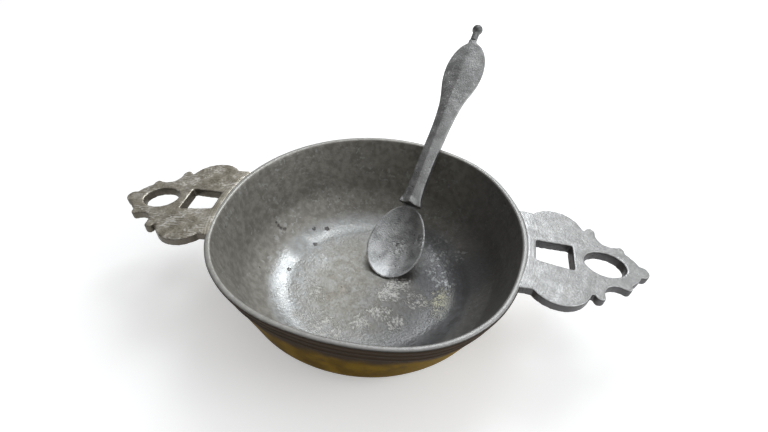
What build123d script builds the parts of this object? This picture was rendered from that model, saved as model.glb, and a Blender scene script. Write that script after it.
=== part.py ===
from build123d import *
from math import asin, atan2, cos, degrees, hypot, radians, sin, sqrt, tan
import os

os.makedirs("parts", exist_ok=True)

# A two-eared pewter porringer with its spoon. Millimetres and degrees, +Z up.
# The origin is the centre of the flat base, and +X runs along the right ear.

# Bowl
rim_radius = 75.0
bowl_height = 45.0
wall_flare = 19.0  # lean of the wall from upright
wall_thickness = 2.5
floor_thickness = 2.6
corner_radius = 19.0  # outside, between base and wall
inner_corner_radius = 24.5  # inside, so the casting is thickest in its corner
lip_height = 3.4
lip_proud = 0.5  # how far the lip stands out from the wall
lip_round = 1.2
reed_depths = (7.0, 11.5)  # of the two turned reeds, below the rim
reed_radius = 0.8
reed_proud = 0.45

# Ears: distances outward are measured from the rim, along the sloping plate
ear_thickness = 4.3
ear_droop = 7.0
root_width = 52.4
notch_width = 49.0  # over the root, where the lobes begin
lobe_out = 13.1
lobe_side = 16.5
lobe_radius = 14.25
window_out = 3.2
window_length = 17.4
window_inner_width = 13.2
window_outer_width = 16.2
oval_out = 35.1
oval_length = 19.6
oval_width = 15.4
oval_border = 5.4  # beside the oval
oval_end = 6.6  # past the oval's far end
hole_draft = 1.0  # the holes are narrower at the back by this on each side, to leave the mould
spur_out = 30.4
spur_side = 20.8
spur_radius = 2.3
dip_radius = 6.5  # of the hollow between spur and barb
barb_out = 43.6
barb_side = 13.8
barb_radius = 2.0
tip_radius = 3.7
tip_past_frame = 3.7
solder_bead = 1.9
solder_inset = 2.0  # of the bead's ends from the root's corners

# Spoon: distances along it are measured from the tip of its bowl
spoon_length = 42.0  # of the spoon's bowl
spoon_width = 31.0
spoon_depth = 7.0
spoon_wall = 0.9
heel_from_tip = 18.0
tongue_length = 9.0
tongue_width = 8.0
stem_under = 1.2  # the stem's back, below the plane of the spoon's rim
foot_width = 12.9
foot_rise = 3.6  # the stem's ridge above the plane of the spoon's rim, at the foot
end_rise = 2.2  # the same at the far end
stem_pitch = 0.13  # fall of the two facets from the ridge
back_radius = 120.0
waist_width = 9.2
shoulder_width = 12.4
pear_width = 21.9
pear_bend = 1.4  # the pear lies a little to the right of the foot
shoulder_bend = 0.9
neck_width = 4.4
foot_to_waist = 21.0
waist_to_shoulder = 42.0
shoulder_to_pear = 23.0
pear_to_end = 19.2
neck_from_pear = 21.0
foot_slope = 0.34  # taper of the stem's edge at the foot
shoulder_slope = 0.15
neck_diameter = 4.0
neck_length = 4.6
knop_diameter = 6.0
pin_diameter = 1.6
pin_length = 6.0
pin_clearance = 0.1

# Where the spoon stands: its heel on the floor, and its stem against the lip
spoon_heel_x = 7.5
spoon_heel_y = 9.1
spoon_heading = 77.2
rest_gap = 0.3

# Bowl: one profile, turned about Z
lean = tan(radians(wall_flare))
wall_run = wall_thickness / cos(radians(wall_flare))
lip_corner = rim_radius + lip_round * (lean + 1 / cos(radians(wall_flare)) - 1)
wall_top = lip_corner - lip_proud


def wall_radius(height):
    """Radius of the outside of the wall at a height above the base."""
    return wall_top - (bowl_height - height) * lean


lip_foot = bowl_height - lip_height
outer_corner = (wall_radius(0), 0)
inner_corner = (wall_radius(floor_thickness) - wall_run, floor_thickness)

with BuildPart() as bowl_outside:
    with BuildSketch(Plane.XZ) as outside_profile:
        with BuildLine():
            Polyline(
                (0, 0),
                outer_corner,
                (wall_radius(lip_foot), lip_foot),
                (wall_radius(lip_foot) + lip_proud, lip_foot),
                (lip_corner, bowl_height),
                (0, bowl_height),
                close=True,
            )
        make_face()
        fillet(outside_profile.vertices().sort_by_distance(outer_corner)[0], corner_radius)
        fillet(outside_profile.vertices().sort_by_distance((lip_corner, bowl_height))[0], lip_round)
    revolve(axis=Axis.Z)
    reed_sink = reed_radius - reed_proud
    for depth in reed_depths:
        with BuildSketch(Plane.XZ):
            with Locations((wall_radius(bowl_height - depth) - reed_sink, bowl_height - depth)):
                Circle(reed_radius)
        revolve(axis=Axis.Z)

with BuildPart() as porringer_bowl:
    add(bowl_outside.part)
    with BuildSketch(Plane.XZ) as inside_profile:
        with BuildLine():
            Polyline(
                (0, floor_thickness),
                inner_corner,
                (wall_top - wall_run, bowl_height),
                (0, bowl_height),
                close=True,
            )
        make_face()
        fillet(inside_profile.vertices().sort_by_distance(inner_corner)[0], inner_corner_radius)
    revolve(axis=Axis.Z, mode=Mode.SUBTRACT)
    inner_edges = porringer_bowl.edges().filter_by(GeomType.CIRCLE).group_by(Axis.Z)[-1]
    fillet(inner_edges.sort_by(SortBy.RADIUS)[0], lip_round)
porringer_bowl.part.label = "porringer_bowl"
export_step(porringer_bowl.part, "parts/porringer_bowl.step")

# Ears: one plate outline, cast twice, each cut to the wall and held by a bead of solder
frame_length = oval_length / 2 + oval_end
frame_width = oval_width / 2 + oval_border
droop_cos = cos(radians(ear_droop))
droop_sin = sin(radians(ear_droop))
spur_flank = spur_out + spur_radius
dip_side = frame_width - barb_radius / 4
under_ear = bowl_height - ear_thickness / droop_cos
seam_radius = wall_radius(under_ear)
root_depth = rim_radius - sqrt(seam_radius**2 - (root_width / 2) ** 2) + wall_thickness
solder_sweep = 2 * degrees(asin((root_width / 2 - solder_inset) / seam_radius))

for side, heading in (("right", 0), ("left", 180)):
    ear_plane = Plane(
        origin=Vector(rim_radius, 0, bowl_height).rotate(Axis.Z, heading),
        x_dir=Vector(droop_cos, 0, -droop_sin).rotate(Axis.Z, heading),
        z_dir=Vector(droop_sin, 0, droop_cos).rotate(Axis.Z, heading),
    )
    with BuildPart() as ear:
        with BuildSketch(ear_plane):
            Polygon(
                (-root_depth, 0),
                (-root_depth, root_width / 2),
                (lobe_out, notch_width / 2),
                (lobe_out, 0),
                align=None,
            )
            with Locations((lobe_out, lobe_side)):
                Circle(lobe_radius)
            with Locations((spur_out, spur_side)):
                Circle(spur_radius)
            with BuildLine():
                Polyline(
                    (lobe_out, 0),
                    (lobe_out, lobe_side),
                    (spur_out - spur_radius, spur_side),
                    (spur_flank, spur_side),
                    (spur_flank, dip_side + dip_radius),
                )
                RadiusArc(
                    (spur_flank, dip_side + dip_radius),
                    (spur_flank + dip_radius, dip_side),
                    -dip_radius,
                )
                Polyline(
                    (spur_flank + dip_radius, dip_side),
                    (barb_out, barb_side),
                    (barb_out, 0),
                    (lobe_out, 0),
                )
            make_face()
            with Locations((barb_out, barb_side - barb_radius)):
                Rectangle(barb_radius * 2, barb_radius * 2, align=(Align.CENTER, Align.MAX))
                Circle(barb_radius)
            mirror(about=Plane.XZ)
            with Locations((oval_out, 0)):
                Ellipse(frame_length, frame_width)
            with Locations((oval_out + frame_length + tip_past_frame - tip_radius, 0)):
                Circle(tip_radius)
        extrude(amount=-ear_thickness)
        for depth, inset in ((0, 0), (ear_thickness, hole_draft)):
            with BuildSketch(ear_plane.offset(-depth)):
                Polygon(
                    (window_out + inset, window_inner_width / 2 - inset),
                    (window_out + inset, inset - window_inner_width / 2),
                    (window_out + window_length - inset, inset - window_outer_width / 2),
                    (window_out + window_length - inset, window_outer_width / 2 - inset),
                    align=None,
                )
        loft(mode=Mode.SUBTRACT)
        for depth, inset in ((0, 0), (ear_thickness, hole_draft)):
            with BuildSketch(ear_plane.offset(-depth)):
                with Locations((oval_out, 0)):
                    Ellipse(oval_length / 2 - inset, oval_width / 2 - inset)
        loft(mode=Mode.SUBTRACT)
        split(bisect_by=Plane.XY.offset(bowl_height), keep=Keep.BOTTOM)
        add(bowl_outside.part, mode=Mode.SUBTRACT)
    ear.part.label = side + "_ear"
    export_step(ear.part, "parts/" + side + "_ear.step")

    # The bead's sloping face lies one bead out along the ear and one bead down the wall
    with BuildPart() as ear_solder:
        with BuildSketch(Plane.XZ.rotated((0, 0, heading - solder_sweep / 2))):
            Polygon(
                (seam_radius - solder_bead, under_ear + solder_bead),
                (seam_radius + solder_bead * 2, under_ear + solder_bead),
                (seam_radius - solder_bead, under_ear - solder_bead * 2),
                align=None,
            )
        revolve(axis=Axis.Z, revolution_arc=solder_sweep)
        split(bisect_by=ear_plane.offset(-ear_thickness), keep=Keep.BOTTOM)
        add(bowl_outside.part, mode=Mode.SUBTRACT)
    ear_solder.part.label = side + "_ear_solder"
    export_step(ear_solder.part, "parts/" + side + "_ear_solder.step")

# The spoon stands like a ladder: its heel is round, so its lean follows from two contacts
heel_radius = (heel_from_tip**2 + spoon_depth**2) / (2 * spoon_depth)
heel_height = heel_radius - spoon_depth
lip_contact = wall_top - wall_run + lip_round
along = (cos(radians(spoon_heading)), sin(radians(spoon_heading)))
heel_along = spoon_heel_x * along[0] + spoon_heel_y * along[1]
heel_aside = abs(spoon_heel_x * along[1] - spoon_heel_y * along[0])
stem_edge = heel_aside + shoulder_width / 2  # the stem's edge meets the round lip first
reach = sqrt(lip_contact**2 - stem_edge**2) - heel_along
heel_centre = floor_thickness + rest_gap + heel_radius
rise = bowl_height - lip_round - heel_centre
offset_to_lip = heel_height + stem_under + lip_round + rest_gap
tilt = atan2(rise, reach) + asin(offset_to_lip / hypot(rise, reach))
tip_back = heel_from_tip * cos(tilt) - heel_height * sin(tilt)
tip_down = heel_from_tip * sin(tilt) + heel_height * cos(tilt)
spoon_plane = Plane(
    origin=(
        spoon_heel_x - tip_back * along[0],
        spoon_heel_y - tip_back * along[1],
        heel_centre - tip_down,
    ),
    x_dir=(along[0] * cos(tilt), along[1] * cos(tilt), sin(tilt)),
    z_dir=(-along[0] * sin(tilt), -along[1] * sin(tilt), cos(tilt)),
)
spoon_side = Plane(spoon_plane.origin, x_dir=spoon_plane.x_dir, z_dir=-spoon_plane.y_dir)
print("spoon lean", round(degrees(tilt), 2), "tip", [round(v, 2) for v in spoon_plane.origin])

# Spoon bowl: an egg turned about a line above its rim, hollowed, with a tongue for the stem
turning_height = ((spoon_width / 2) ** 2 - spoon_depth**2) / (2 * spoon_depth)
spoon_axis = Axis(
    spoon_plane.from_local_coords(Vector(0, 0, turning_height)),
    spoon_plane.x_dir,
)

with BuildPart() as spoon_bowl:
    with BuildSketch(spoon_plane):
        with Locations((spoon_length, 0)):
            Rectangle(2 * tongue_length, tongue_width)
    extrude(amount=-stem_under)
    for inset, mode in ((0, Mode.ADD), (spoon_wall, Mode.SUBTRACT)):
        neck = spoon_length - inset
        deep = spoon_depth - inset
        tip_arc = ((heel_from_tip - inset) ** 2 + deep**2) / (2 * deep)
        neck_arc = ((neck - heel_from_tip) ** 2 + deep**2) / (2 * deep)
        with BuildSketch(spoon_side):
            with BuildLine():
                RadiusArc((inset, 0), (heel_from_tip, -deep), -tip_arc)
                RadiusArc((heel_from_tip, -deep), (neck, 0), -neck_arc)
                Polyline((neck, 0), (neck, turning_height), (inset, turning_height), (inset, 0))
            make_face()
        revolve(axis=spoon_axis, mode=mode)
    split(bisect_by=spoon_plane, keep=Keep.BOTTOM)
spoon_bowl.part.label = "spoon_bowl"
export_step(spoon_bowl.part, "parts/spoon_bowl.step")

# Spoon stem: a bar with two facets above and a round back, trimmed to its outline
waist_at = spoon_length + foot_to_waist
shoulder_at = waist_at + waist_to_shoulder
pear_at = shoulder_at + shoulder_to_pear
stem_end = pear_at + neck_from_pear
bar_half = pear_width / 2 + pear_bend + stem_under

with BuildPart() as spoon_stem:
    for distance, ridge in ((spoon_length, foot_rise), (stem_end, end_rise)):
        section_plane = Plane(
            spoon_plane.from_local_coords(Vector(distance, 0, 0)),
            x_dir=spoon_plane.y_dir,
            z_dir=spoon_plane.x_dir,
        )
        with BuildSketch(section_plane):
            with BuildLine():
                eave = ridge - bar_half * stem_pitch
                back = back_radius - sqrt(back_radius**2 - bar_half**2) - stem_under
                Polyline(
                    (-bar_half, back),
                    (-bar_half, eave),
                    (0, ridge),
                    (bar_half, eave),
                    (bar_half, back),
                )
                ThreePointArc((bar_half, back), (0, -stem_under), (-bar_half, back))
            make_face()
    loft()
    with BuildSketch(spoon_plane):
        with BuildLine():
            edges = [
                Spline(
                    (spoon_length, hand * foot_width / 2),
                    (waist_at, hand * waist_width / 2),
                    (shoulder_at, hand * shoulder_width / 2 - shoulder_bend),
                    (pear_at, hand * pear_width / 2 - pear_bend),
                    tangents=(
                        (1, -hand * foot_slope),
                        (1, 0),
                        (1, hand * shoulder_slope),
                        (1, 0),
                    ),
                )
                for hand in (1, -1)
            ]
            Line(edges[0] @ 0, edges[1] @ 0)
            Line(edges[0] @ 1, edges[1] @ 1)
        make_face()
        with Locations((pear_at, -pear_bend)):
            Ellipse(pear_to_end, pear_width / 2)
        with Locations(((pear_at + stem_end) / 2, 0)):
            Rectangle(neck_from_pear, neck_width)
    extrude(amount=foot_rise + stem_under, both=True, mode=Mode.INTERSECT)
    add(spoon_bowl.part, mode=Mode.SUBTRACT)
    knop_height = (end_rise - stem_under) / 2
    knop_plane = Plane(
        spoon_plane.from_local_coords(Vector(stem_end, 0, knop_height)),
        x_dir=spoon_plane.y_dir,
        z_dir=spoon_plane.x_dir,
    )
    with BuildSketch(knop_plane):
        Circle(pin_diameter / 2 + pin_clearance)
    extrude(amount=-pin_length - pin_clearance, mode=Mode.SUBTRACT)
spoon_stem.part.label = "spoon_stem"
export_step(spoon_stem.part, "parts/spoon_stem.step")

# Spoon knop: a ball on a neck, with a pin that is soldered into the stem's end
with BuildPart() as spoon_knop:
    with BuildSketch(knop_plane):
        Circle(pin_diameter / 2)
    extrude(amount=-pin_length)
    with BuildSketch(knop_plane):
        Circle(neck_diameter / 2)
    extrude(amount=neck_length + knop_diameter / 2)
    with Locations(knop_plane.offset(neck_length + knop_diameter / 2)):
        Sphere(knop_diameter / 2)
spoon_knop.part.label = "spoon_knop"
export_step(spoon_knop.part, "parts/spoon_knop.step")
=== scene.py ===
"""Pewter porringer with two pierced ears and its spoon: looks, floor, light and camera. Metres, +Z up."""
from math import ceil, cos, pi, radians, sin, tan

import bmesh
import bpy
import numpy as np
from mathutils import Euler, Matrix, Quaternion, Vector


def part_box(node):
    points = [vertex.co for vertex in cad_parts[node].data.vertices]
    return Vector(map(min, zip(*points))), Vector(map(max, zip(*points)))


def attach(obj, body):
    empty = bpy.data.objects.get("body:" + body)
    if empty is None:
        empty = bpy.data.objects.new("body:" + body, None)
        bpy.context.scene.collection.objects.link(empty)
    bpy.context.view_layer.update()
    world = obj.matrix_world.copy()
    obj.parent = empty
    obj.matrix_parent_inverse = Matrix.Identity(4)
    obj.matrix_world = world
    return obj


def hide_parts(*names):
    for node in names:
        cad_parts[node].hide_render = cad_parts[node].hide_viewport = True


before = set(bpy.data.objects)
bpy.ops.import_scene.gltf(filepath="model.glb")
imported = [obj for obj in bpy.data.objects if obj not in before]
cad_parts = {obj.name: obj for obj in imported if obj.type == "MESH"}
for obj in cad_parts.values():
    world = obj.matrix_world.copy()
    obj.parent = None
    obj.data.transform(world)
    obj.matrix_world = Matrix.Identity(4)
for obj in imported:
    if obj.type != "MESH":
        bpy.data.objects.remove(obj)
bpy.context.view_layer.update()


# Porringer bowl
# One casting of pewter, turned on a lathe inside and out: flat base, large round corner, flared wall,
# two fine reeds and a lip that stands proud. Handling has pushed the front of its rim out of round,
# and food has left pale oxide on its floor.
bowl_low, bowl_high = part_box("porringer_bowl")
rim_radius = bowl_high.x
bowl_height = bowl_high.z
wall_flare = radians(19)
wall_thickness = 0.0025
floor_thickness = 0.0026
corner_radius = 0.019
inner_corner_radius = 0.0245
lip_height = 0.0034
lip_proud = 0.0005
lip_round = 0.0012
lip_foot_round = 0.0002
reed_depths = (0.0115, 0.007)
reed_half = 0.0008
reed_proud = 0.0005
reed_round = 0.0005
profile_step = 0.0012
fewest_corner_steps = 5
turning_steps = 320
turning_weld = 0.000002
lip_corner = rim_radius + lip_round * (tan(wall_flare) + 1 / cos(wall_flare) - 1)
wall_top = lip_corner - lip_proud
wall_run = wall_thickness / cos(wall_flare)
lip_foot = bowl_height - lip_height


def wall_radius(height):
    """Radius of the outside of the wall at a height above the base."""
    return wall_top - (bowl_height - height) * tan(wall_flare)


def shape_with(piece, kind, **settings):
    """Adds a modifier to a piece and applies it."""
    bpy.context.view_layer.objects.active = piece
    modifier = piece.modifiers.new(kind.lower(), kind)
    for name, setting in settings.items():
        setattr(modifier, name, setting)
    bpy.ops.object.modifier_apply(modifier=modifier.name)


def edge_middle(edge):
    """The point halfway along an edge."""
    return (edge.verts[0].co + edge.verts[1].co) / 2


def turned_piece(name, corners, steps):
    """A piece turned about Z from a profile of (radius, height, rounding) corners.

    A plane drawn together to one vertex is extruded from corner to corner, the corners are rounded,
    the long stretches divided, and the line goes round in a Screw modifier.
    """
    bpy.ops.object.select_all(action="DESELECT")
    bpy.ops.mesh.primitive_plane_add(size=profile_step)
    piece = bpy.context.active_object
    piece.name = name
    piece.data.name = name
    bpy.ops.object.mode_set(mode="EDIT")
    bpy.ops.mesh.merge(type="CENTER")
    places = [Vector((radius, 0, height)) for radius, height, rounding in corners]
    bpy.ops.transform.translate(value=places[0])
    for start, end in zip(places, places[1:]):
        bpy.ops.mesh.extrude_vertices_move(TRANSFORM_OT_translate={"value": end - start})
    bpy.ops.mesh.select_mode(type="VERT")
    mesh = bmesh.from_edit_mesh(piece.data)
    for before, corner, after, (_, _, rounding) in zip(places, places[1:], places[2:], corners[1:]):
        if rounding:
            half = (before - corner).angle(after - corner) / 2
            bpy.ops.mesh.select_all(action="DESELECT")
            min(mesh.verts, key=lambda vertex: (vertex.co - corner).length).select_set(True)
            bpy.ops.mesh.bevel(
                affect="VERTICES", offset_type="OFFSET", offset=rounding / tan(half),
                segments=max(fewest_corner_steps, ceil(rounding * (pi - 2 * half) / profile_step)),
            )
    long_edges = [edge for edge in mesh.edges if edge.calc_length() > 2 * profile_step]
    divisions = [(edge_middle(edge), ceil(edge.calc_length() / profile_step) - 1) for edge in long_edges]
    for middle, cuts in divisions:
        bpy.ops.mesh.select_all(action="DESELECT")
        chosen = min(mesh.edges, key=lambda edge: (edge_middle(edge) - middle).length)
        chosen.select_set(True)
        bpy.ops.mesh.subdivide(number_cuts=cuts)
    bpy.ops.object.mode_set(mode="OBJECT")
    shape_with(
        piece, "SCREW", axis="Z", angle=2 * pi, steps=steps, render_steps=steps,
        use_merge_vertices=True, merge_threshold=turning_weld,
    )
    bpy.ops.object.mode_set(mode="EDIT")
    bpy.ops.mesh.select_all(action="SELECT")
    bpy.ops.mesh.remove_doubles(threshold=turning_weld)
    bpy.ops.mesh.normals_make_consistent(inside=False)
    bpy.ops.object.mode_set(mode="OBJECT")
    return piece


def vertex_rows(piece, kind):
    """Places ("co") or normals ("normal") of a piece's vertices, one row each."""
    rows = np.empty(len(piece.data.vertices) * 3)
    piece.data.vertices.foreach_get(kind, rows)
    return rows.reshape(-1, 3)


def edit_only(piece, chosen):
    """Goes into Edit Mode on the active piece, with only the chosen vertices selected."""
    bpy.ops.object.mode_set(mode="EDIT")
    bpy.ops.mesh.select_all(action="DESELECT")
    bpy.ops.object.mode_set(mode="OBJECT")
    piece.data.vertices.foreach_set("select", chosen)
    bpy.ops.object.mode_set(mode="EDIT")


def push(piece, chosen, move, reach, falloff="SMOOTH"):
    """Moves the chosen vertices of a piece, and draws the metal within reach along with them."""
    edit_only(piece, chosen)
    bpy.ops.transform.translate(
        value=move, use_proportional_edit=True, use_proportional_connected=(falloff == "LINEAR"),
        proportional_edit_falloff=falloff, proportional_size=reach,
    )
    bpy.ops.object.mode_set(mode="OBJECT")


def add_attribute(piece, name, values):
    """Gives each vertex of a piece a number that its material reads."""
    attribute = piece.data.attributes.new(name, "FLOAT", "POINT")
    attribute.data.foreach_set("value", values.astype(np.float32))


reeds = []
for depth in reed_depths:
    height = bowl_height - depth
    reeds += [
        (wall_radius(height - reed_half), height - reed_half, 0),
        (wall_radius(height) + reed_proud, height, reed_round),
        (wall_radius(height + reed_half), height + reed_half, 0),
    ]
bowl_corners = [
    (0, 0, 0),
    (wall_radius(0), 0, corner_radius),
    *reeds,
    (wall_radius(lip_foot), lip_foot, 0),
    (wall_radius(lip_foot) + lip_proud, lip_foot, lip_foot_round),
    (lip_corner, bowl_height, lip_round),
    (wall_top - wall_run, bowl_height, lip_round),
    (wall_radius(floor_thickness) - wall_run, floor_thickness, inner_corner_radius),
    (0, floor_thickness, 0),
]
bowl = turned_piece("bowl", bowl_corners, turning_steps)

# outside: the wall's outer face and the base
level_facing = 0.5
places = vertex_rows(bowl, "co")
spread = np.hypot(places[:, 0], places[:, 1])
bearing = np.degrees(np.arctan2(places[:, 1], places[:, 0])) % 360
facing = vertex_rows(bowl, "normal")
outward = (facing[:, 0] * places[:, 0] + facing[:, 1] * places[:, 1]) / np.maximum(spread, profile_step)
outer_face = (outward > 0) | (facing[:, 2] < -level_facing)
add_attribute(bowl, "outside", ((facing[:, 2] < level_facing) & outer_face) * 1.0)

# worn: the top of the lip with its two rounded edges, and the crests of the reeds
edge_softness = 0.0004
lip_softness = 0.0010
edge_sink = 0.35 * lip_round
worn_reach = 1.5  # in softnesses from the line
worn = np.zeros(len(places))
edge_lines = [  # radius, height, softness
    (lip_corner - edge_sink, bowl_height - edge_sink, edge_softness),
    ((lip_corner + wall_top - wall_run) / 2, bowl_height, lip_softness),
    (wall_top - wall_run + edge_sink, bowl_height - edge_sink, edge_softness),
]
for depth in reed_depths:
    height = bowl_height - depth
    edge_lines.append((wall_radius(height) + reed_proud, height, edge_softness))
for edge_radius, edge_height, softness in edge_lines:
    off = np.hypot(spread - edge_radius, places[:, 2] - edge_height)
    worn = np.maximum(worn, np.clip(worn_reach - off / softness, 0, 1))
add_attribute(bowl, "worn", worn)

rim_knocks = (  # bearing in degrees, push outwards, reach
    (265, -0.0034, 0.045),
    (208, 0.0023, 0.040),
    (318, 0.0028, 0.042),
    (48, 0.0009, 0.028),
)
knock_width = 3
for knock_bearing, knock, reach in rim_knocks:
    apart = np.abs((bearing - knock_bearing + 180) % 360 - 180)
    chosen = (apart < knock_width) & (places[:, 2] > lip_foot)
    across = Vector((cos(radians(knock_bearing)), sin(radians(knock_bearing)), 0))
    push(bowl, chosen, across * knock, reach)

wall_dents = (  # place on the inside, depth, reach
    ((-0.0542, 0.0218, 0.0107), 0.0004, 0.0032),
    ((-0.0558, 0.0146, 0.0099), 0.0003, 0.0028),
    ((-0.0580, 0.0218, 0.0157), 0.0002, 0.0030),
    ((-0.0390, 0.0309, 0.0045), 0.00015, 0.0026),
    ((-0.0326, 0.0343, 0.0036), 0.00015, 0.0026),
    ((-0.0361, 0.0217, 0.0027), 0.00012, 0.0024),
    ((-0.0100, -0.0085, 0.0026), 0.0003, 0.0030),
    ((0.0457, 0.0278, 0.0065), 0.0003, 0.0040),
)
for dent_place, depth, reach in wall_dents:
    places = vertex_rows(bowl, "co")
    nearest = np.argmin(np.linalg.norm(places - np.array(dent_place), axis=1))
    chosen = np.arange(len(places)) == nearest
    push(bowl, chosen, bowl.data.vertices[nearest].normal * -depth, reach)


def uneven_skin(piece, lump, depth):
    """Gives a piece the uneven skin of old cast metal, with lumps of a size and depth."""
    texture = bpy.data.textures.new(piece.name + "_skin", "CLOUDS")
    texture.noise_scale = lump
    shape_with(piece, "DISPLACE", texture=texture, texture_coords="LOCAL", strength=depth, mid_level=0.5)


bowl_lump = 0.016
bowl_lump_depth = 0.00012
sharp_angle = radians(45)
uneven_skin(bowl, bowl_lump, bowl_lump_depth)
bpy.ops.object.shade_smooth_by_angle(angle=sharp_angle)


def plug(tree, value, socket):
    """Joins an output to a socket, or sets the socket where the value is plain."""
    if isinstance(value, bpy.types.NodeSocket):
        tree.links.new(value, socket)
    else:
        socket.default_value = value


def add_node(tree, kind, values=None, **settings):
    """Adds a shader node with its settings, and puts values on its sockets."""
    node = tree.nodes.new("ShaderNode" + kind)
    for name, setting in settings.items():
        setattr(node, name, setting)
    for name, value in (values or {}).items():
        plug(tree, value, node.inputs[name])
    return node


def new_metal(name):
    """Starts a metal: its material, node tree, shader, and the place and normal on the object."""
    material = bpy.data.materials.new(name)
    material.use_nodes = True
    tree = material.node_tree
    shader = tree.nodes["Principled BSDF"]
    where = add_node(tree, "TexCoord")
    return material, tree, shader, where.outputs["Object"], where.outputs["Normal"]


def ramp(tree, value, start, end):
    """0 at start, 1 at end, and a smooth rise between them."""
    values = {"Value": value, "From Min": start, "From Max": end}
    return add_node(tree, "MapRange", values, interpolation_type="SMOOTHSTEP").outputs["Result"]


def calc(tree, operation, *values):
    """A sum of plain numbers and outputs."""
    return add_node(tree, "Math", dict(enumerate(values)), operation=operation).outputs["Value"]


def times(tree, first, second):
    """The product of two numbers."""
    return calc(tree, "MULTIPLY", first, second)


def dot(tree, first, second):
    """How far one vector goes along another."""
    return add_node(tree, "VectorMath", {0: first, 1: second}, operation="DOT_PRODUCT").outputs["Value"]


def noise(tree, place, scale, detail, roughness=0.5):
    """Cloudy noise about 0.5, of a scale in cells a metre."""
    values = {"Vector": place, "Scale": scale, "Detail": detail, "Roughness": roughness}
    return add_node(tree, "TexNoise", values).outputs["Fac"]


def blotches(tree, place, scale, low, high, detail=4):
    """Cloudy patches, of a scale in cells a metre, from 0 where the noise is low to 1 where it is high."""
    return ramp(tree, noise(tree, place, scale, detail), low, high)


def mixed(tree, share, first, second):
    """A colour between two."""
    return add_node(tree, "Mix", {0: share, 6: first, 7: second}, data_type="RGBA").outputs[2]


def tinted(tree, mask, share, first, second):
    """A colour that goes a share of the way to a second one where the mask is 1."""
    return mixed(tree, times(tree, mask, share), first, second)


def graded(tree, share, first, second):
    """A number between two."""
    return add_node(tree, "Mix", {0: share, 2: first, 3: second}, data_type="FLOAT").outputs[0]


pit_core = 0.3  # share of a pit's size that is at full depth


def pits(tree, place, scale, share, size):
    """Small round pits, in a share of the cells of a scale in cells a metre."""
    cells = add_node(tree, "TexVoronoi", {"Vector": place, "Scale": scale})
    chance = add_node(tree, "SeparateColor", {0: cells.outputs["Color"]}).outputs[0]
    here = calc(tree, "LESS_THAN", chance, share)
    return times(tree, here, ramp(tree, cells.outputs["Distance"], size, pit_core * size))


scratch_core = 0.2  # share of a scratch's width that is at full depth
scratch_patches = 0.7  # patches of scratches in the length of one
scratch_bare = (0.62, 0.72)
scratch_spread = 0.3


def scratches(tree, place, turn, length, pitch, width, share):
    """Fine lines of a length along X turned about Z, a pitch apart, in a share of the surface."""
    scale = (1 / length, 1 / pitch, 1 / pitch)
    laid = add_node(tree, "Mapping", {"Vector": place, "Rotation": (0, 0, turn), "Scale": scale})
    lines = add_node(
        tree, "TexVoronoi", {"Vector": laid.outputs[0], "Scale": 1.0}, feature="DISTANCE_TO_EDGE"
    )
    thin = ramp(tree, lines.outputs["Distance"], width, scratch_core * width)
    low, high = (bare - scratch_spread * share for bare in scratch_bare)
    return times(tree, thin, blotches(tree, place, scratch_patches / length, low, high))


def bumped(tree, shader, *layers):
    """Raises the surface by layers of (height, depth in metres), one over the other."""
    under = None
    for height, depth in layers:
        bump = add_node(tree, "Bump", {"Height": height, "Distance": depth, "Strength": 1.0})
        if under:
            tree.links.new(under, bump.inputs["Normal"])
        under = bump.outputs["Normal"]
    tree.links.new(under, shader.inputs["Normal"])


def flat_radius(tree, place):
    """Distance from the bowl's axis."""
    flat = add_node(tree, "VectorMath", {0: place, 1: (1, 1, 0)}, operation="MULTIPLY").outputs[0]
    return add_node(tree, "VectorMath", {0: flat}, operation="LENGTH").outputs["Value"]


spot_core = 0.25  # share of a spot's reach where it is full


def near_spots(tree, place, spots):
    """1 at the middle of the nearest of some (x, y, z, reach) spots, 0 beyond its reach."""
    nearest = 0.0
    for x, y, z, reach in spots:
        away = add_node(tree, "VectorMath", {0: place, 1: (x, y, z)}, operation="DISTANCE").outputs["Value"]
        nearest = calc(tree, "MAXIMUM", nearest, ramp(tree, away, reach, spot_core * reach))
    return nearest


def attribute(tree, name):
    """A number that the mesh holds."""
    return add_node(tree, "Attribute", attribute_name=name).outputs["Fac"]


pewter_dark = (0.225, 0.212, 0.185, 1)
pewter_grey = (0.340, 0.325, 0.290, 1)
pewter_stain = (0.150, 0.140, 0.120, 1)
pewter_bloom = (0.46, 0.465, 0.455, 1)
pewter_bright = (0.52, 0.52, 0.51, 1)
# Painted highlight: a bluish bright tint where the lamp's highlight falls in the corner.
painted_highlight_blue = (0.46, 0.50, 0.55, 1)
# Dark of pits and gashes; on the spoon also painted shade on faces turned back along it.
pit_dark_and_painted_shade = (0.08, 0.075, 0.07, 1)
# Painted shade colour: the inside is darkened to this on its right side and right of the spoon, where less
# light falls.
painted_shade_grey = (0.085, 0.085, 0.088, 1)
crust_pale = (0.72, 0.715, 0.68, 1)
crust_yellow = (0.86, 0.84, 0.62, 1)
patina_dark = (0.056, 0.037, 0.023, 1)
# Painted reflection: warm colours low on the outside that stand for the warm ground reflected in it.
painted_reflection_gold = (0.145, 0.084, 0.005, 1)
painted_reflection_bright = (0.34, 0.205, 0.018, 1)

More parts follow.
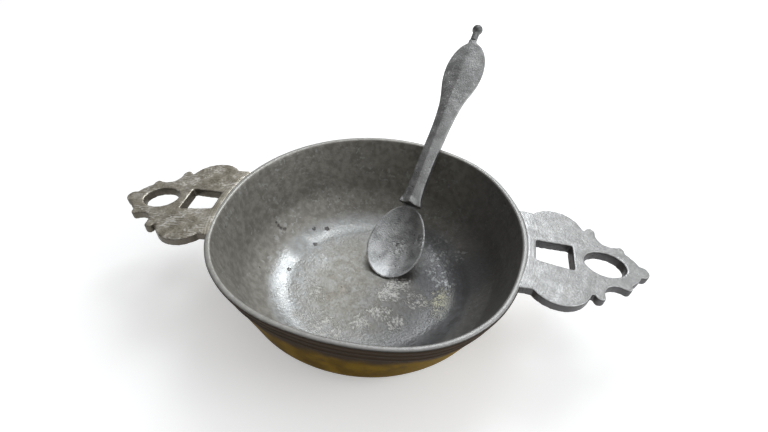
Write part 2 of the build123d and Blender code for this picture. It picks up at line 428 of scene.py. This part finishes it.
# Spots on the inside: place and reach
gash_spots = (
    (-0.0578, 0.0212, 0.0150, 0.0016),
    (-0.0566, 0.0208, 0.0132, 0.0018),
    (-0.0552, 0.0212, 0.0116, 0.0020),
    (-0.0536, 0.0222, 0.0103, 0.0022),
    (-0.0396, 0.0315, 0.0049, 0.0022),
    (-0.0326, 0.0345, 0.0037, 0.0026),
    (-0.0361, 0.0217, 0.0027, 0.0024),
    (-0.0440, -0.0005, 0.0029, 0.0022),
)
chip_spots = (
    (-0.0550, 0.0005, 0.0075, 0.0030),
    (-0.0526, 0.0068, 0.0062, 0.0028),
    (-0.0559, 0.0146, 0.0100, 0.0028),
    (-0.0551, 0.0194, 0.0108, 0.0022),
    (-0.0540, 0.0240, 0.0115, 0.0022),
)
fleck_spots = (
    (-0.0551, 0.0192, 0.0107, 0.006),
    (-0.0558, 0.0146, 0.0099, 0.005),
    (-0.0580, 0.0218, 0.0157, 0.005),
    (0.0353, 0.0379, 0.0055, 0.007),
    (0.0291, 0.0362, 0.0034, 0.006),
    (0.0360, 0.0270, 0.0031, 0.008),
    (0.0457, 0.0278, 0.0065, 0.007),
    (0.0345, 0.0170, 0.0028, 0.012),
    (0.0400, 0.0060, 0.0028, 0.010),
)
# Spots by the corner, rubbed smoother and painted with the bluish highlight.
polished_and_highlight_spots = (
    (-0.0370, -0.0060, 0.0026, 0.016),
    (-0.0320, 0.0090, 0.0026, 0.014),
    (-0.0340, -0.0190, 0.0028, 0.014),
)
dull_spots = (
    (-0.0440, 0.0170, 0.0036, 0.011),
    (-0.0450, 0.0350, 0.0090, 0.017),
)
# Painted shade spots right of the spoon, where the inside is darkened further.
painted_shade_spots = (
    (0.0370, 0.0110, 0.0028, 0.020),
    (0.0510, 0.0130, 0.0080, 0.024),
)
crust_spots = (
    (0.042, -0.003, floor_thickness, 0.015),
    (0.041, -0.0127, floor_thickness, 0.010),
    (0.0101, -0.0194, floor_thickness, 0.010),
    (-0.018, -0.0316, floor_thickness, 0.014),
    (-0.0115, -0.0356, floor_thickness, 0.013),
    (-0.030, -0.0317, floor_thickness, 0.009),
    (0.0015, -0.0282, floor_thickness, 0.009),
    (0.0152, 0.0024, floor_thickness, 0.010),
    (0.0119, -0.0051, floor_thickness, 0.010),
    (0.0271, -0.0075, floor_thickness, 0.011),
    (0.0191, -0.0237, floor_thickness, 0.009),
    (-0.0236, -0.0132, floor_thickness, 0.009),
)
yellow_spots = crust_spots[:1]

# Heights, radii and ways across the bowl between which one finish gives way to the next
floor_heights = (0.0090, 0.0042)
flat_radii = (0.047, 0.038)
corner_radii = (0.024, 0.046)
corner_heights = (0.0080, 0.0046)
dish_radii = (0.005, 0.052)
low_wall_foot = (0.0050, 0.0075)
low_wall_top = (0.024, 0.012)
# Where the painted reflection low on the outside begins, and the x over which its right end is painted
# lighter as painted light.
painted_reflection_heights = (0.034, 0.027)
painted_reflection_waves = 0.004
painted_light_right_end = (0.012, 0.045)
# Ways across the bowl along which painted shade darkens the inside towards the right.
wall_shade_slant = -0.4
wall_shade_way = (-0.020, 0.048)
floor_shade_slant = -0.15
floor_shade_way = (-0.014, 0.032)

# Patterns: cells a metre, low, high and, where it isn't 4, detail
mottle_clouds = (300, 0.3, 0.7, 8)
bloom_clouds = (240, 0.42, 0.66, 8)
sparse_clouds = (55, 0.40, 0.58)
fleck_clouds = (560, 0.56, 0.67, 3)
stain_clouds = (300, 0.50, 0.66, 7)
crust_clouds = (1400, 0.32, 0.56, 3)
speck_clouds = (480, 0.52, 0.62, 4)
painted_reflection_clouds = (70, 0.3, 0.7)
painted_reflection_mottle_clouds = (110, 0.36, 0.70, 8)
patina_clouds = (160, 0.5, 0.8, 6)
rough_clouds = (240, 0.3, 0.7)
grain_clouds = (700, 0.3, 0.7, 4)
turning_scale = 900
turning_detail = 3
bowl_pits = (300, 0.05, 0.20)  # cells a metre, share of them, size
crust_grains = (680, 7, 0.75)  # cells a metre, detail, roughness
crust_patches = (150, 5, 0.6)
ragged_grains = (800, 3)

# How strongly each layer shows
bloom_share = 0.6
fleck_share = 0.7
stain_share = 0.5
corner_pit_share = 0.2
polished_and_highlight_spot_share = 0.7
painted_highlight_share = 0.3
crust_patch_share = 0.6
crust_spot_share = 0.23
yellow_share = 0.06
crust_limits = (0.93, 1.07)
wall_shade_share = 0.66
floor_shade_share = 0.79
painted_shade_spot_share = 0.25
crust_shade_share = 0.2
speck_share = 0.42
chip_limits = (0.30, 0.46)
chip_share = 0.6
gash_limits = (0.32, 0.52)
gash_share = 0.75
painted_reflection_bright_share = 0.55
patina_stain_share = 0.6
rubbed_shares = (0.5, 0.06)  # inside, outside
bloom_dullness = 0.2

# Bare metal from 0 to 1, roughness, specular level and depths of the bumps
bare_walls = (0.5, 0.0)  # inside, outside
bare_floor = 0.68
bare_dulled = 0.33
bare_crust = 0.1
rough_wall = (0.38, 0.48)
rough_flat = 0.5
rough_corner = 0.31
rough_dulled = 0.55
rough_crust = 0.7
rough_outside = 0.62
rough_worn = 0.42
specular_levels = (0.5, 0.05)  # inside, outside
dish_depth = 0.0024
turning_depth = 0.00003
grain_depth = 0.00005
crust_depth = 0.0001
gash_depth = 0.0004


def bowl_metal():
    """Old turned pewter: dull and mottled inside, oxide and crust on the floor, brown patina outside with a
    painted warm reflection low down, painted shade on the right inside and a painted bluish highlight in the
    corner.
    """
    material, tree, shader, place, _ = new_metal("bowl_old_pewter")
    axes = add_node(tree, "SeparateXYZ", {0: place}).outputs
    height = axes["Z"]
    radius = flat_radius(tree, place)
    along = calc(tree, "ADD", radius, height)
    turning_values = {"W": along, "Scale": turning_scale, "Detail": turning_detail}
    turning = add_node(tree, "TexNoise", turning_values, noise_dimensions="1D").outputs["Fac"]
    outside = attribute(tree, "outside")
    inside = calc(tree, "SUBTRACT", 1.0, outside)
    worn = attribute(tree, "worn")
    on_floor = times(tree, ramp(tree, height, *floor_heights), inside)
    on_flat = times(tree, ramp(tree, radius, *flat_radii), on_floor)
    in_corner = times(tree, ramp(tree, radius, *corner_radii), ramp(tree, height, *corner_heights))
    by_corner = times(tree, near_spots(tree, place, polished_and_highlight_spots), polished_and_highlight_spot_share)
    in_corner = times(tree, calc(tree, "MAXIMUM", in_corner, by_corner), inside)
    dish = times(tree, ramp(tree, radius, *dish_radii), inside)

    colour = mixed(tree, blotches(tree, place, *mottle_clouds), pewter_dark, pewter_grey)
    bloom = times(tree, on_floor, blotches(tree, place, *bloom_clouds))
    colour = tinted(tree, bloom, bloom_share, colour, pewter_bloom)
    sparse = blotches(tree, place, *sparse_clouds)
    flecks = times(tree, blotches(tree, place, *fleck_clouds), sparse)
    colour = tinted(tree, flecks, fleck_share, colour, pewter_bloom)
    stained = times(tree, blotches(tree, place, *stain_clouds), on_flat)
    colour = tinted(tree, stained, stain_share, colour, pewter_stain)
    holes = times(tree, pits(tree, place, *bowl_pits), graded(tree, in_corner, 1.0, corner_pit_share))
    colour = mixed(tree, holes, colour, pit_dark_and_painted_shade)
    # Painted highlight: the rubbed corner and spots by it are also tinted bluish bright where the lamp's
    # highlight falls.
    colour = tinted(tree, in_corner, painted_highlight_share, colour, painted_highlight_blue)

    crusted = calc(
        tree, "MULTIPLY_ADD",
        noise(tree, place, *crust_patches), crust_patch_share, noise(tree, place, *crust_grains),
    )
    crusted = calc(tree, "ADD", crusted, times(tree, near_spots(tree, place, crust_spots), crust_spot_share))
    yellowed = near_spots(tree, place, yellow_spots)
    crusted = calc(tree, "MULTIPLY_ADD", yellowed, yellow_share, crusted)
    crust = times(tree, ramp(tree, crusted, *crust_limits), on_flat)
    crust = times(tree, crust, blotches(tree, place, *crust_clouds))
    colour = mixed(tree, crust, colour, mixed(tree, yellowed, crust_pale, crust_yellow))

    # Painted shade: the walls and floor are darkened towards the right, and more right of the spoon, less
    # under crust.
    wall_way = calc(tree, "MULTIPLY_ADD", axes["Y"], wall_shade_slant, axes["X"])
    wall_shade = times(tree, ramp(tree, wall_way, *wall_shade_way), wall_shade_share)
    floor_way = calc(tree, "MULTIPLY_ADD", axes["Y"], floor_shade_slant, axes["X"])
    floor_shade = times(tree, ramp(tree, floor_way, *floor_shade_way), floor_shade_share)
    shade = times(tree, graded(tree, on_floor, wall_shade, floor_shade), inside)
    shade = calc(tree, "MULTIPLY_ADD", near_spots(tree, place, painted_shade_spots), painted_shade_spot_share, shade)
    shade = times(tree, shade, graded(tree, crust, 1.0, crust_shade_share))
    colour = mixed(tree, shade, colour, painted_shade_grey)

    specks = times(tree, near_spots(tree, place, fleck_spots), blotches(tree, place, *speck_clouds))
    colour = tinted(tree, specks, speck_share, colour, pewter_bloom)
    ragged = noise(tree, place, *ragged_grains)
    chipped = ramp(tree, times(tree, near_spots(tree, place, chip_spots), ragged), *chip_limits)
    colour = tinted(tree, chipped, chip_share, colour, pewter_bloom)
    gashed = ramp(tree, times(tree, near_spots(tree, place, gash_spots), ragged), *gash_limits)
    colour = tinted(tree, gashed, gash_share, colour, pit_dark_and_painted_shade)

    # Painted reflection: a mottled warm band low on the outside stands for the ground reflected in the
    # metal, painted lighter at its right end where light falls; above it the dark brown patina, with stains.
    waves = times(tree, blotches(tree, place, *painted_reflection_clouds), painted_reflection_waves)
    painted_reflection = ramp(tree, calc(tree, "ADD", height, waves), *painted_reflection_heights)
    painted_light_on_right = ramp(tree, axes["X"], *painted_light_right_end)
    painted_reflection_brightness = calc(tree, "MAXIMUM", blotches(tree, place, *painted_reflection_mottle_clouds), painted_light_on_right)
    painted_reflection_colour = tinted(tree, painted_reflection_brightness, painted_reflection_bright_share, painted_reflection_gold, painted_reflection_bright)
    patina_and_painted_reflection = mixed(tree, painted_reflection, patina_dark, painted_reflection_colour)
    patina_stains = blotches(tree, place, *patina_clouds)
    patina_and_painted_reflection = tinted(tree, patina_stains, patina_stain_share, patina_and_painted_reflection, patina_dark)
    colour = mixed(tree, outside, colour, patina_and_painted_reflection)
    rubbed = times(tree, worn, graded(tree, outside, *rubbed_shares))
    colour = mixed(tree, rubbed, colour, pewter_bright)
    plug(tree, colour, shader.inputs["Base Color"])

    dull = calc(tree, "MAXIMUM", crust, times(tree, bloom, bloom_dullness))
    low_wall = times(tree, ramp(tree, height, *low_wall_foot), ramp(tree, height, *low_wall_top))
    low_wall = times(tree, low_wall, inside)
    dulled = calc(tree, "MAXIMUM", near_spots(tree, place, dull_spots), low_wall)
    bare = graded(tree, on_floor, graded(tree, outside, *bare_walls), bare_floor)
    bare = graded(tree, dulled, bare, bare_dulled)
    plug(tree, graded(tree, dull, bare, bare_crust), shader.inputs["Metallic"])
    rough = graded(tree, blotches(tree, place, *rough_clouds), *rough_wall)
    rough = graded(tree, on_flat, rough, rough_flat)
    rough = graded(tree, in_corner, rough, rough_corner)
    rough = graded(tree, dulled, rough, rough_dulled)
    rough = graded(tree, dull, rough, rough_crust)
    rough = graded(tree, outside, rough, rough_outside)
    rough = graded(tree, times(tree, worn, inside), rough, rough_worn)
    plug(tree, rough, shader.inputs["Roughness"])
    plug(tree, graded(tree, outside, *specular_levels), shader.inputs["Specular IOR Level"])
    bumped(
        tree, shader,
        (dish, dish_depth),
        (turning, turning_depth),
        (blotches(tree, place, *grain_clouds), grain_depth),
        (calc(tree, "SUBTRACT", crust, holes), crust_depth),
        (gashed, -gash_depth),
    )
    return material


bowl.data.materials.append(bowl_metal())
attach(bowl, "porringer")
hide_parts("porringer_bowl")


# Ears
# Two flat pierced handles of cast pewter from one mould, filed along their edges and soldered on
# below the lip. The right one is pale and matt, and its far end is turned a little sideways. The left
# one is browner, scratched and more worn.
casting_weld = 0.000001
smooth_factor = 0.5
ear_shape = (0.0004, 9, 0.006, 0.0003)  # voxel, softening, lump, depth
ear_droop = radians(7)
ear_turn = radians(-2.1)  # of the right ear's far end, towards +Y
ear_turn_reach = 0.028


def casting(node, name, voxel, softening, lump, depth):
    """A copy of a CAD node with the soft edges and uneven skin of a casting."""
    piece = bpy.data.objects.new(name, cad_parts[node].data.copy())
    piece.data.name = name
    bpy.context.scene.collection.objects.link(piece)
    bpy.ops.object.select_all(action="DESELECT")
    piece.select_set(True)
    bpy.context.view_layer.objects.active = piece
    bpy.ops.object.mode_set(mode="EDIT")
    bpy.ops.mesh.select_all(action="SELECT")
    bpy.ops.mesh.remove_doubles(threshold=casting_weld)
    bpy.ops.object.mode_set(mode="OBJECT")
    shape_with(piece, "REMESH", mode="VOXEL", voxel_size=voxel)
    shape_with(piece, "SMOOTH", factor=smooth_factor, iterations=softening)
    uneven_skin(piece, lump, depth)
    bpy.ops.object.shade_smooth()
    piece.data.materials.clear()
    return piece


def turn_end(piece, chosen, turn, pivot, reach):
    """Turns the chosen vertices of a piece about Z, and draws the metal within reach along with them."""
    edit_only(piece, chosen)
    bpy.ops.transform.rotate(
        value=turn, orient_axis="Z", orient_type="GLOBAL", center_override=pivot,
        use_proportional_edit=True, proportional_edit_falloff="SMOOTH", proportional_size=reach,
    )
    bpy.ops.object.mode_set(mode="OBJECT")


# How far a face is turned to the plate's own way up, between which it counts as side or as edge
side_facing = (0.75, 0.35)
edge_facing_low = (0.55, 0.85)
edge_facing_high = (0.995, 0.93)
ear_grain = (1100, 0.3, 0.7, 3)
ear_mottle = (220, 0.3, 0.7, 8)
ear_grain_share = 0.45
ear_patches = (110, 0.48, 0.66)
ear_patch_grain = (700, 0.42, 0.66)
ear_patch_share = 0.8
ear_scratches = (  # turn, length, pitch, width
    (0.5, 0.012, 0.0011, 0.10),
    (-0.9, 0.009, 0.0014, 0.10),
)
ear_scratch_share = 0.8
ear_pits = (420, 0.12, 0.25)
file_pitch = 0.0014
file_limits = (0.2, 0.8)
file_radii = (rim_radius + 0.0075, rim_radius + 0.003)
file_share = 0.35
ear_bare = 0.85
handled_clouds = (200, 0.3, 0.7)
ear_smoother = 0.06
ear_rougher = 0.08
ear_scratch_smoother = 0.12
ear_skin = (900, 0.25, 0.75, 4)
ear_skin_depth = 0.00006
file_depth = 0.0001
ear_scratch_depth = 0.00003


def ear_metal(name, side, tones, roughness, scratch_share, filed, edge_wear):
    """Cast pewter of an ear: mottled face, sides darkened partly by tarnish and partly as painted shade,
    edges rubbed bright, scratches and file marks.
    """
    material, tree, shader, place, normal = new_metal(name)
    dark, light, pale, side_tarnish_and_shade = tones
    level = dot(tree, normal, (side * sin(ear_droop), 0, cos(ear_droop)))
    on_side = ramp(tree, level, *side_facing)
    on_edge = times(tree, ramp(tree, level, *edge_facing_low), ramp(tree, level, *edge_facing_high))

    grain = blotches(tree, place, *ear_grain)
    mottle = graded(tree, ear_grain_share, blotches(tree, place, *ear_mottle), grain)
    colour = mixed(tree, mottle, dark, light)
    patches = times(tree, blotches(tree, place, *ear_patches), blotches(tree, place, *ear_patch_grain))
    colour = tinted(tree, patches, ear_patch_share, colour, pale)
    line_sets = [scratches(tree, place, *scratch, scratch_share) for scratch in ear_scratches]
    lines = calc(tree, "MAXIMUM", *line_sets)
    colour = tinted(tree, lines, ear_scratch_share, colour, pale)
    holes = pits(tree, place, *ear_pits)
    colour = mixed(tree, holes, colour, dark)
    radius = flat_radius(tree, place)
    file_lines = calc(tree, "SINE", times(tree, radius, 2 * pi / file_pitch))
    at_root = times(tree, ramp(tree, radius, *file_radii), filed)
    file_marks = times(tree, ramp(tree, file_lines, *file_limits), at_root)
    colour = tinted(tree, file_marks, file_share, colour, pale)
    colour = tinted(tree, on_edge, edge_wear, colour, pale)
    # The sides and hole walls are darkened partly by tarnish and partly as painted shade.
    colour = mixed(tree, on_side, colour, side_tarnish_and_shade)
    plug(tree, colour, shader.inputs["Base Color"])
    shader.inputs["Metallic"].default_value = ear_bare
    handled = blotches(tree, place, *handled_clouds)
    rough = graded(tree, handled, roughness - ear_smoother, roughness + ear_rougher)
    plug(tree, graded(tree, lines, rough, roughness - ear_scratch_smoother), shader.inputs["Roughness"])
    bumped(
        tree, shader,
        (blotches(tree, place, *ear_skin), ear_skin_depth),
        (calc(tree, "SUBTRACT", file_marks, holes), file_depth),
        (lines, -ear_scratch_depth),
    )
    return material


right_tones = (  # dark, light, pale, side tarnish and painted shade
    (0.31, 0.31, 0.308, 1),
    (0.45, 0.45, 0.445, 1),
    (0.55, 0.55, 0.547, 1),
    (0.12, 0.117, 0.12, 1),
)
left_tones = (
    (0.21, 0.185, 0.14, 1),
    (0.53, 0.49, 0.41, 1),
    (0.90, 0.88, 0.82, 1),
    (0.15, 0.135, 0.11, 1),
)
ear_finishes = {  # side, tones, roughness, share of scratches, file marks, edge wear
    "right": (1, right_tones, 0.46, 0.0, 1.0, 0.6),
    "left": (-1, left_tones, 0.46, 0.30, 0.3, 0.05),
}
for hand, finish in ear_finishes.items():
    ear = casting(hand + "_ear", hand + "_pierced_ear", *ear_shape)
    if hand == "right":
        far_end = vertex_rows(ear, "co")[:, 0] > rim_radius + ear_turn_reach
        turn_end(ear, far_end, ear_turn, (rim_radius, 0, bowl_height), ear_turn_reach)
    ear.data.materials.append(ear_metal(hand + "_ear_cast_pewter", *finish))
    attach(ear, "porringer")
    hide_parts(hand + "_ear")


# Solder beads
# Soft solder run into the corner under each ear's root, where it holds the ear to the wall. It was
# never dressed, so it is lumpy and as dark as the patina around it.
solder_shape = (0.0003, 4, 0.002, 0.0003)  # voxel, softening, lump, depth
solder_dark = (0.12, 0.11, 0.10, 1)
solder_light = (0.30, 0.29, 0.27, 1)
solder_lumps = (260, 0.3, 0.7, 5)
solder_lump_depth = 0.0002
solder_grain = (1200, 0.3, 0.7)
solder_grain_depth = 0.00005
solder_bare = 0.9
solder_rough = (0.6, 0.42)


def solder_metal():
    """Dull undressed solder."""
    material, tree, shader, place, _ = new_metal("undressed_solder")
    lumps = blotches(tree, place, *solder_lumps)
    plug(tree, mixed(tree, lumps, solder_dark, solder_light), shader.inputs["Base Color"])
    shader.inputs["Metallic"].default_value = solder_bare
    plug(tree, graded(tree, lumps, *solder_rough), shader.inputs["Roughness"])
    grain = blotches(tree, place, *solder_grain)
    bumped(tree, shader, (lumps, solder_lump_depth), (grain, solder_grain_depth))
    return material


solder = solder_metal()
for hand in ear_finishes:
    bead = casting(hand + "_ear_solder", hand + "_solder_bead", *solder_shape)
    bead.data.materials.append(solder)
    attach(bead, "porringer")
    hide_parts(hand + "_ear_solder")


# Spoon
# Three castings joined by the maker: an egg-shaped bowl, a stem whose two-faceted foot stands on the
# bowl's tongue and which swells to a pear shape, and a ball knop. Use has worn it smooth.
spoon_bearing = radians(77.2)
spoon_lean = radians(33.46)
spoon_axis = Vector((
    cos(spoon_lean) * cos(spoon_bearing),
    cos(spoon_lean) * sin(spoon_bearing),
    sin(spoon_lean),
))
spoon_up = Vector((
    -sin(spoon_lean) * cos(spoon_bearing),
    -sin(spoon_lean) * sin(spoon_bearing),
    cos(spoon_lean),
))
spoon_right = spoon_axis.cross(spoon_up)
crest_step = 0.0003
crest_rises = (  # end along the stem, rise
    (0.85, 0.0003),
    (0.65, 0.0003),
    (0.50, 0.0001),
    (0.35, 0.0001),
)
crest_reach = 0.0055
stem_softening = 5
pear_share = 0.62
pear_blend = 0.25
pear_end = 0.92
pear_facing = 0.8
pear_softening = 16
pear_steps = 6
foot_slices = 6
foot_rise = 0.0006
foot_notch = 0.0008
foot_reach = 0.004
spoon_shapes = {  # voxel, softening, lump, depth
    "spoon_bowl": (0.00025, 4, 0.005, 0.0002),
    "spoon_stem": (0.0003, 4, 0.004, 0.00015),
    "spoon_knop": (0.0002, 1, 0.002, 0.00005),
}
spoon_pale = (0.66, 0.66, 0.655, 1)
spoon_flake = (0.80, 0.81, 0.82, 1)
spoon_scars = (  # place, reach
    (0.0111, 0.0232, 0.0084, 0.007),
    (0.0232, 0.0226, 0.0165, 0.006),
)
spoon_mottle = (150, 0.35, 0.65, 6)
spoon_sparse = (110, 0.45, 0.65)
spoon_flecks = (900, 0.52, 0.70, 4)
spoon_fleck_share = 0.6
spoon_pits = (420, 0.15, 0.24)
flake_clouds = (520, 0.48, 0.58, 5)
sunk_clouds = (450, 0.44, 0.36, 5)
sunk_share = 0.7
edge_points = (0.515, 0.56)
spoon_scratch = (0.010, 0.0007, 0.12)  # length, pitch, width
spoon_scratch_share = 0.5
# How far a face turns back along the spoon before it is painted dark as shade.
painted_shade_facing = (-0.6, -0.85)
# Across the spoon, where its right side is painted paler as painted light from the right.
painted_light_way = (0.0015, 0.0090)
spoon_bare = 0.9
spoon_rough = (0.40, 0.52)
spoon_skin = (1500, 0.25, 0.75, 3)
spoon_skin_depth = 0.0001
scar_depth = 0.0002


def spoon_metal(name, dark, light, edge_wear, scratch_share, painted_light_share):
    """Cast pewter worn by use: grey, with pale rubbed spots and small pits, its right side painted paler as
    painted light, and painted shade on faces turned back along the spoon.
    """
    material, tree, shader, place, normal = new_metal(name)
    colour = mixed(tree, blotches(tree, place, *spoon_mottle), dark, light)
    sparse = blotches(tree, place, *spoon_sparse)
    flecks = times(tree, blotches(tree, place, *spoon_flecks), sparse)
    colour = tinted(tree, flecks, spoon_fleck_share, colour, spoon_pale)
    holes = pits(tree, place, *spoon_pits)
    colour = mixed(tree, holes, colour, pit_dark_and_painted_shade)
    scar = near_spots(tree, place, spoon_scars)
    flaking = times(tree, scar, blotches(tree, place, *flake_clouds))
    colour = mixed(tree, flaking, colour, spoon_flake)
    sunk = times(tree, scar, blotches(tree, place, *sunk_clouds))
    colour = tinted(tree, sunk, sunk_share, colour, pit_dark_and_painted_shade)
    edges = ramp(tree, add_node(tree, "NewGeometry").outputs["Pointiness"], *edge_points)
    colour = tinted(tree, edges, edge_wear, colour, spoon_pale)
    lines = scratches(tree, place, -spoon_bearing, *spoon_scratch, scratch_share)
    colour = tinted(tree, lines, spoon_scratch_share, colour, spoon_pale)
    # Painted shade: faces turned back along the spoon, such as the end face of the stem's foot, are painted
    # dark.
    colour = mixed(tree, ramp(tree, dot(tree, normal, spoon_axis), *painted_shade_facing), colour, pit_dark_and_painted_shade)
    # Painted light: the right side is painted paler, as if lit more from the right.
    painted_light_on_right = ramp(tree, dot(tree, place, spoon_right), *painted_light_way)
    colour = tinted(tree, painted_light_on_right, painted_light_share, colour, spoon_pale)
    plug(tree, colour, shader.inputs["Base Color"])
    shader.inputs["Metallic"].default_value = spoon_bare
    rough = graded(tree, blotches(tree, place, *handled_clouds), *spoon_rough)
    plug(tree, rough, shader.inputs["Roughness"])
    bumped(
        tree, shader,
        (blotches(tree, place, *spoon_skin), spoon_skin_depth),
        (calc(tree, "SUBTRACT", flaking, calc(tree, "MAXIMUM", holes, sunk)), scar_depth),
    )
    return material


spoon_finishes = {  # dark, light, edge wear, share of scratches, painted light on the right side
    "spoon_bowl": ((0.26, 0.263, 0.266, 1), (0.52, 0.527, 0.533, 1), 0.8, 0.7, 0.0),
    "spoon_stem": ((0.165, 0.165, 0.162, 1), (0.275, 0.275, 0.273, 1), 0.1, 0.1, 0.15),
    "spoon_knop": ((0.10, 0.10, 0.10, 1), (0.20, 0.20, 0.20, 1), 0.0, 0.0, 0.0),
}
for node, shape in spoon_shapes.items():
    piece = casting(node, node.replace("spoon_", "spoon_cast_"), *shape)
    if node == "spoon_stem":
        places = vertex_rows(piece, "co")
        slice_of = np.round(places @ np.array(spoon_axis) / crest_step).astype(int)
        upward = places @ np.array(spoon_up)
        chosen = np.zeros(len(places), dtype=bool)
        for part in np.unique(slice_of):
            here = np.flatnonzero(slice_of == part)
            chosen[here[np.argmax(upward[here])]] = True
        share = (slice_of - slice_of.min()) / np.ptp(slice_of)
        for end, rise in crest_rises:
            push(piece, chosen & (share < end), spoon_up * rise, crest_reach, "LINEAR")
        foot = chosen & (slice_of < slice_of.min() + foot_slices)
        push(piece, foot, spoon_up * foot_rise + spoon_axis * foot_notch, foot_reach)
        shape_with(piece, "SMOOTH", factor=smooth_factor, iterations=stem_softening)
        on_top = vertex_rows(piece, "normal") @ np.array(spoon_up) > pear_facing
        pear_top = piece.vertex_groups.new(name="pear_top")
        for step in range(1, pear_steps + 1):
            here = on_top & (share > pear_share + pear_blend * step / pear_steps) & (share < pear_end)
            pear_top.add(np.flatnonzero(here).tolist(), step / pear_steps, "REPLACE")
        shape_with(piece, "SMOOTH", factor=smooth_factor, iterations=pear_softening, vertex_group="pear_top")
    piece.data.materials.append(spoon_metal(node + "_pewter", *spoon_finishes[node]))
    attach(piece, "spoon")
    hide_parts(node)


# Floor, light and camera
# A pale table under the porringer, a large soft lamp behind it, a small one over it, a third to its right,
# and light from all around that is stronger from behind and the right. The camera stands where the
# photograph was taken from.
floor_size = 40.0
floor_white = (0.9, 0.9, 0.9, 1)
floor_rough = 0.9
floor_lift = 0.38
full_white = (1, 1, 1, 1)

bpy.ops.object.select_all(action="DESELECT")
bpy.ops.mesh.primitive_plane_add(size=floor_size, location=(0, 0, bowl_low.z))
table = bpy.context.active_object
table.name = "table"
bpy.ops.object.transform_apply(location=True)
table_paint = bpy.data.materials.new("table_white")
table_paint.use_nodes = True
tree = table_paint.node_tree
shader = tree.nodes["Principled BSDF"]
shader.inputs["Base Color"].default_value = floor_white
shader.inputs["Roughness"].default_value = floor_rough
shader.inputs["Emission Color"].default_value = full_white
rays = add_node(tree, "LightPath").outputs
seen = calc(tree, "MAXIMUM", rays["Is Camera Ray"], rays["Is Glossy Ray"])
seen = calc(tree, "MAXIMUM", seen, rays["Is Transmission Ray"])
plug(tree, times(tree, seen, floor_lift), shader.inputs["Emission Strength"])
table.data.materials.append(table_paint)

lamps = {  # way, size, power
    "back_softbox": ((0.12, 0.63, 0.74), 0.36, 2.6),
    "top_softbox": ((0.04, 0.40, 0.91), 0.20, 0.3),
    "side_softbox": ((0.80, -0.05, 0.60), 0.35, 1.4),
}
lamp_distance = 0.9
lamp_tint = (0.93, 0.97, 1.0)
for name, (way, lamp_size, lamp_power) in lamps.items():
    lamp_way = Vector(way).normalized()
    bpy.ops.object.light_add(type="AREA", location=lamp_way * lamp_distance)
    lamp = bpy.context.active_object
    lamp.name = name
    lamp.rotation_euler = lamp_way.to_track_quat("Z", "Y").to_euler()
    lamp.data.shape = "SQUARE"
    lamp.data.size = lamp_size
    lamp.data.energy = lamp_power
    lamp.data.color = lamp_tint

sky_side = Vector((0.55, 0.45, 0.70)).normalized()
sky_limits = (-0.5, 1.0)
sky_range = (0.05, 0.72)
world = bpy.data.worlds.new("studio")
world.use_nodes = True
sky = world.node_tree
background = sky.nodes["Background"]
sky_way = add_node(sky, "TexCoord").outputs["Generated"]
sky_light = graded(sky, ramp(sky, dot(sky, sky_way, sky_side), *sky_limits), *sky_range)
background.inputs["Color"].default_value = full_white
plug(sky, sky_light, background.inputs["Strength"])
bpy.context.scene.world = world
bpy.context.scene.view_settings.view_transform = "Standard"

view_azimuth = radians(12.31)
view_elevation = radians(41.475)
view_roll = radians(0.579)
view_distance = 0.26327
sensor_width = 36
lens = 25.78
shift = (0.0194, 0.0085)
nearest_seen = 0.01
aim = Vector((0, 0, bowl_height))
away = Vector((
    sin(view_azimuth) * cos(view_elevation),
    -cos(view_azimuth) * cos(view_elevation),
    sin(view_elevation),
))
bpy.ops.object.camera_add(location=aim + away * view_distance)
camera = bpy.context.active_object
camera.name = "camera"
level_view = Euler((pi / 2 - view_elevation, 0, view_azimuth)).to_quaternion()
camera.rotation_euler = (level_view @ Quaternion((0, 0, 1), view_roll)).to_euler()
camera.data.sensor_width = sensor_width
camera.data.lens = lens
camera.data.shift_x, camera.data.shift_y = shift
camera.data.clip_start = nearest_seen
bpy.context.scene.camera = camera
